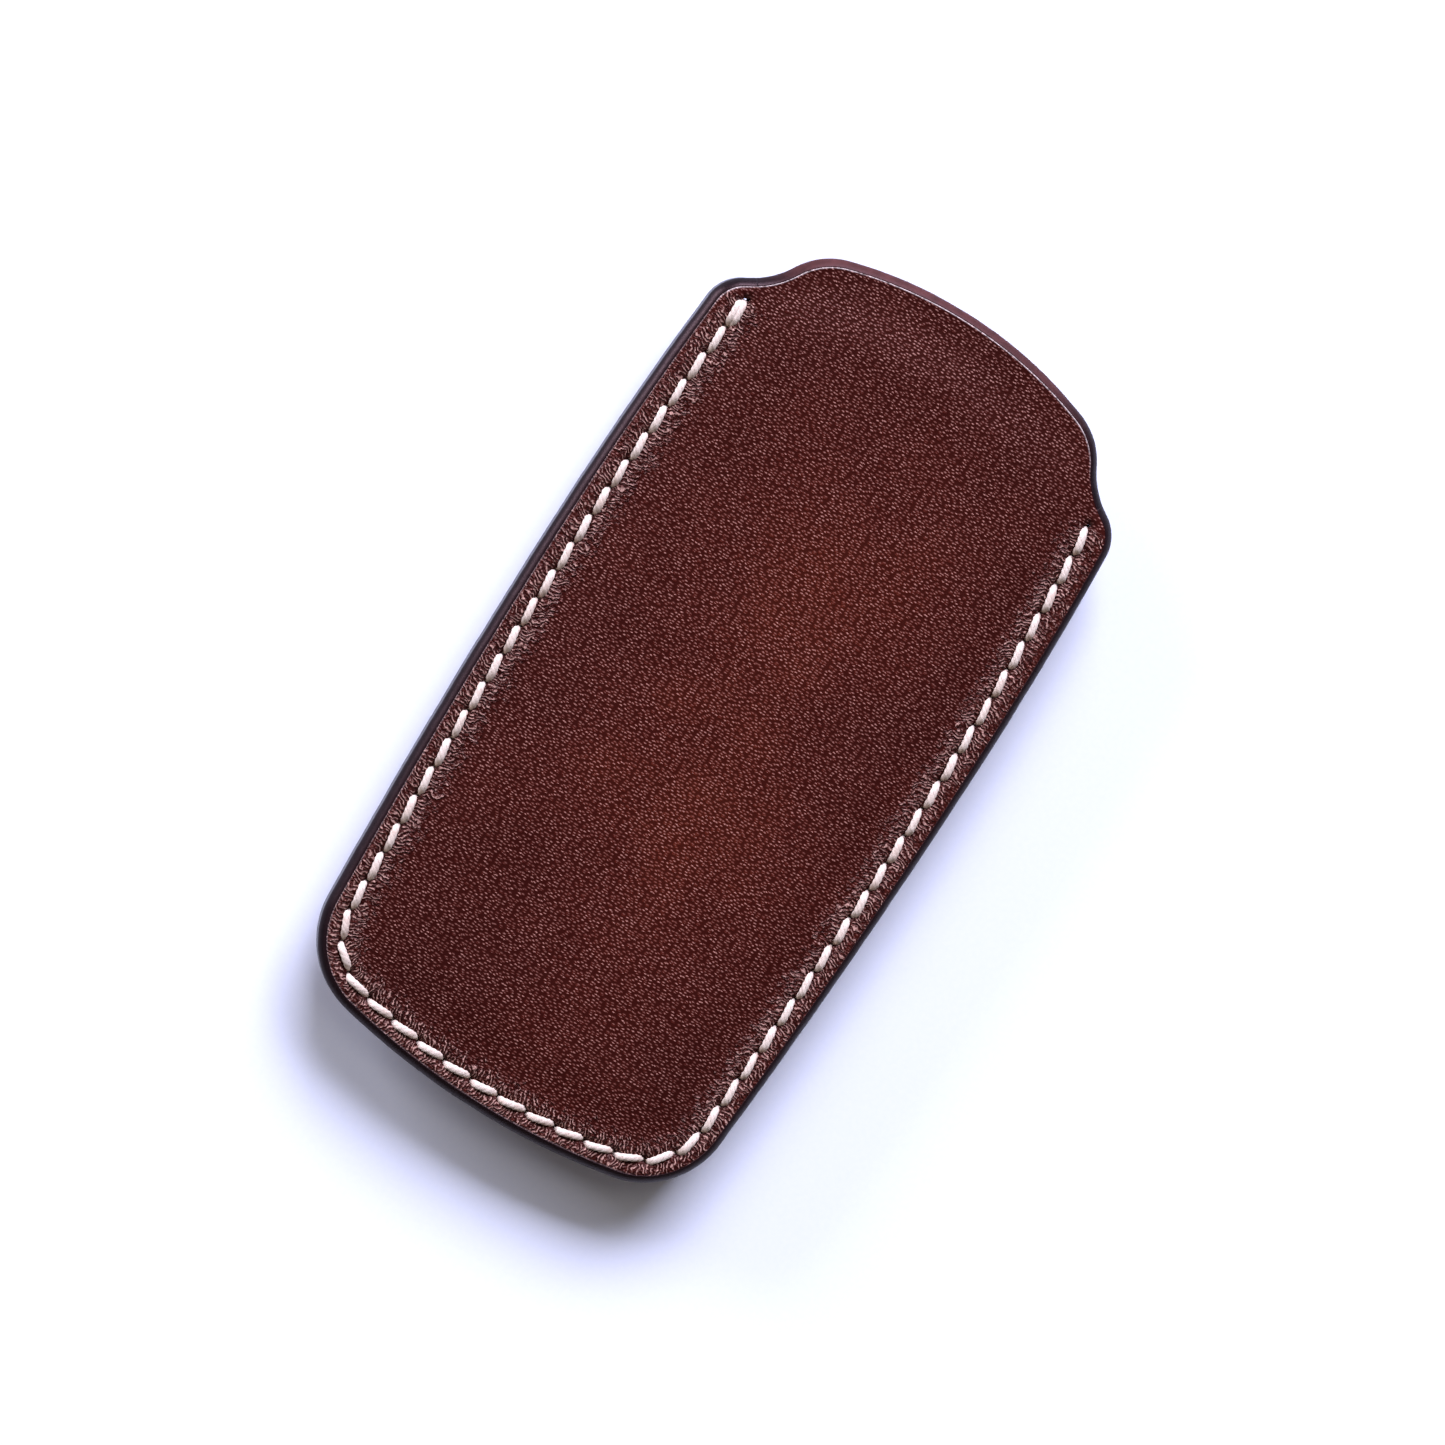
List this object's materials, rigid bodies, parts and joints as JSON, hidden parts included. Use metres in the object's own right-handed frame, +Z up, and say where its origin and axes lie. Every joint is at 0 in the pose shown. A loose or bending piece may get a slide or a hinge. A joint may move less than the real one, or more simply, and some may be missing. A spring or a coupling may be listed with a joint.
{
  "type": "business card case",
  "caption": "Slim hand-sewn leather card pouch, open at one end, with a tall arched back panel, rounded corners and a bulging card pocket with a thumb notch.",
  "frame": {"origin": "bottom centre of the bounding box, on the surface that the case lies on", "axes": "+Z up, out of the tall back panel's face; +Y towards the open mouth; +X to the right of that face seen from above"},
  "size_m": [0.0688, 0.129, 0.0099],
  "materials": {
    "grained_leather": "fine pebbled grain, semi-gloss, dark maroon brown with a redder, lighter middle",
    "lining_leather": "smooth, thin, matt, dark reddish brown",
    "stiffening_board": "pressed fibre board, matt",
    "waxed_thread": "off-white waxed linen, twisted",
    "edge_paint": "built-up polished edge coat, near black"
  },
  "bodies": {
    "root": {"back_leather": "grained_leather", "back_stiffener": "stiffening_board", "back_lining": "lining_leather", "front_leather": "grained_leather", "front_lining": "lining_leather", "seam_thread": "waxed_thread", "body_edge_paint": "edge_paint", "back_mouth_edge_paint": "edge_paint", "front_mouth_edge_paint": "edge_paint"}
  },
  "joints": []
}
